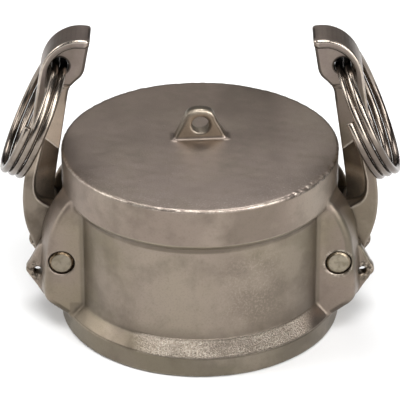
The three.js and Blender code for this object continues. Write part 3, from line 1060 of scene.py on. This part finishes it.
def polished_wire():
    """Drawn spring wire: fine streaks along it, a duller film in places, darker bands, and painted shade
    low down, on its inner side at the top and bottom, on its outer side in the middle and near the arm's
    eye.
    """
    n = Nodes("polished_wire")
    combine = n.add("ShaderNodeCombineXYZ")
    n.put(combine.inputs["X"], n.product(n.attribute("along"), 0.00004))
    n.put(combine.inputs["Y"], n.product(n.attribute("around"), 0.002))
    streaks = n.noise(0.35, 3, 0.6, combine.outputs[0])
    x, _y, height, _radius = n.place_mm()
    inside = n.span(n.attribute("around"), 0.3, -0.4)
    outside = n.math("SUBTRACT", 1.0, inside)
    colour = n.mix(n.span(streaks, 0.4, 0.7), WIRE_PALE, WIRE_GREY)
    colour = n.mix(n.span(n.noise(6, 4, 0.6), 0.48, 0.64, 0, 0.75), colour, WIRE_FILM_AND_SHADE)
    # painted shade: the wire is darker low down, more on its outer side
    low = n.product(n.span(height, 60, 46), n.span(inside, 0, 1, 0.75, 0.3))
    colour = n.mix(low, colour, WIRE_LOW)
    # painted shade: the inner side is darker at the top and bottom
    ends = n.largest(n.span(height, 59, 65), n.span(height, 51, 46))
    colour = n.mix(n.product(inside, ends, 0.5), colour, WIRE_FILM_AND_SHADE)
    # painted shade: the outer side is darker in the middle, more on the right
    middle = n.product(n.between(height, 48, 52, 57, 61), n.span(x, -20, 20, 0.15, 0.75))
    colour = n.mix(n.product(outside, middle), colour, WIRE_FILM_AND_SHADE)
    bands = n.span(n.noise(1.1, 1, 0.5, combine.outputs[0]), 0.44, 0.56, 0, 0.75)
    colour = n.mix(n.product(bands, n.span(height, 62, 50)), colour, WIRE_FILM_AND_SHADE)
    # painted shade: the wire is dark near the arm's eye
    colour = n.mix(n.product(n.attribute("shade"), 0.85), colour, SHADE_AND_DIRT)
    n.put(n.shader.inputs["Base Color"], colour)
    n.shader.inputs["Metallic"].default_value = 1.0
    n.put(n.shader.inputs["Roughness"], n.span(streaks, 0.3, 0.75, 0.2, 0.28))
    n.put(n.shader.inputs["Normal"], n.bump(streaks, 0.02, 0.12))
    return n.material


def turned_steel():
    """A pin: turned, then rubbed, with a warm stain and old oil on its chamfers and shank."""
    n = Nodes("turned_steel")
    scratches = n.noise(0.5, 5, 0.7)
    colour = n.mix(n.span(n.noise(2.2, 4, 0.6), 0.42, 0.6), PIN_PALE, PIN_STAIN)
    x, _y, _height, _radius = n.place_mm()
    # the left pin is darker than the right one
    colour = n.mix(n.span(x, 10, -10, 0, 0.3), colour, DARK)
    old_oil = n.mix(n.span(n.noise(0.7, 4, 0.7), 0.42, 0.62), OIL_DARK, OIL_BROWN)
    colour = n.mix(n.attribute("grime"), colour, old_oil)
    n.put(n.shader.inputs["Base Color"], colour)
    n.shader.inputs["Metallic"].default_value = 1.0
    n.put(n.shader.inputs["Roughness"], n.span(scratches, 0.3, 0.7, 0.28, 0.42))
    n.put(n.shader.inputs["Normal"], n.bump(scratches, 0.02, 0.6))
    return n.material


def nitrile_rubber():
    """Black moulded rubber with a dull bloom and fine mould texture."""
    n = Nodes("nitrile_rubber")
    bloom = n.noise(4, 5, 0.65)
    n.put(n.shader.inputs["Base Color"], n.mix(n.span(bloom, 0.45, 0.75), RUBBER, RUBBER_BLOOM))
    n.put(n.shader.inputs["Roughness"], n.span(bloom, 0.3, 0.7, 0.5, 0.72))
    fine = n.bump(n.noise(0.4, 3, 0.6), 0.03, 0.6)
    n.put(n.shader.inputs["Normal"], n.bump(n.noise(3, 2, 0.5), 0.08, 0.4, fine))
    return n.material


# ---------------------------------------------------------------- studio

def floor_material():
    n = Nodes("studio_floor")
    n.put(n.shader.inputs["Base Color"], n.mix(n.noise(90, 3, 0.5), FLOOR_LOW, FLOOR_HIGH))
    n.shader.inputs["Roughness"].default_value = 0.9
    n.shader.inputs["Specular IOR Level"].default_value = 0.1
    return n.material


def make_floor():
    reach = FLOOR_REACH
    points = [(-reach, -reach, 0), (reach, -reach, 0), (reach, reach, 0), (-reach, reach, 0)]
    floor = new_object("studio_floor", points, [(0, 1, 2, 3)], smooth=False)
    floor.location.z = -FLOOR_DROP
    floor.data.materials.append(floor_material())


def area_light(name, azimuth, elevation, distance, size, power):
    """A soft box that faces the cap. Azimuth 0 is the camera's side, and grows to the right."""
    data = bpy.data.lights.new(name, "AREA")
    data.shape = "RECTANGLE"
    data.size, data.size_y = size
    data.energy = power
    light = bpy.data.objects.new(name, data)
    a, e = math.radians(azimuth), math.radians(elevation)
    target = Vector((0, 0, 0.03))
    direction = Vector((math.sin(a) * math.cos(e), -math.cos(a) * math.cos(e), math.sin(e)))
    light.location = target + direction * distance
    light.rotation_euler = direction.to_track_quat("Z", "Y").to_euler()
    bpy.context.scene.collection.objects.link(light)
    return light


def make_world():
    """A dim studio: what the lights don't reach reflects as dark grey."""
    world = bpy.data.worlds.new("studio")
    bpy.context.scene.world = world
    world.use_nodes = True
    background = world.node_tree.nodes["Background"]
    background.inputs["Color"].default_value = (0.02, 0.02, 0.021, 1)
    background.inputs["Strength"].default_value = 1.0


def make_lights():
    area_light("key", 45, 35, 1.2, (0.6, 0.5), 9.4)
    area_light("front_high", 0, 62, 1.2, (0.55, 0.55), 7.0)
    area_light("front", 0, 35, 1.2, (0.6, 0.5), 1.8)
    area_light("right_low", 45, 10, 1.2, (0.7, 0.45), 5.4)
    area_light("rear_high", 180, 62, 1.2, (0.55, 0.55), 6.8)
    area_light("rear_right", 135, 35, 1.2, (0.6, 0.5), 1.4)
    area_light("rear_left", 225, 35, 1.2, (0.6, 0.5), 1.4)
    area_light("left", 270, 35, 1.2, (0.6, 0.5), 7.4)
    area_light("left_low", 270, 10, 1.2, (0.7, 0.45), 2.1)
    wash = area_light("floor_wash", 0, 88, 2.2, (2.5, 2.5), 7.8)
    wash.visible_glossy = False


def make_camera():
    """The photograph's view: a long lens in front of the cap and a little above it."""
    data = bpy.data.cameras.new("camera")
    data.sensor_width = 36
    data.lens = CAMERA_LENS
    camera = bpy.data.objects.new("camera", data)
    elevation = CAMERA_ELEVATION
    back = Vector((0, -math.cos(elevation), math.sin(elevation)))
    camera.location = Vector((0, 0, CAMERA_AIM_Z)) + back * CAMERA_DISTANCE
    camera.rotation_euler = back.to_track_quat("Z", "Y").to_euler()
    bpy.context.scene.collection.objects.link(camera)
    bpy.context.scene.camera = camera
    bpy.context.scene.view_settings.view_transform = "Standard"


# ---------------------------------------------------------------- scene

make_camera()
make_world()
make_lights()
make_floor()

cap_steel = cast_steel("cap_steel", 0.45, cap_tones)
arm_steel = cast_steel("arm_steel", 0.4, arm_tones)
wire = polished_wire()
pin_steel = turned_steel()

make_cap(cap_steel)
make_gasket(nitrile_rubber())
for side in SIDES:
    make_arm(side, arm_steel)
    make_ring(side, wire)
    make_pin(side, pin_steel)
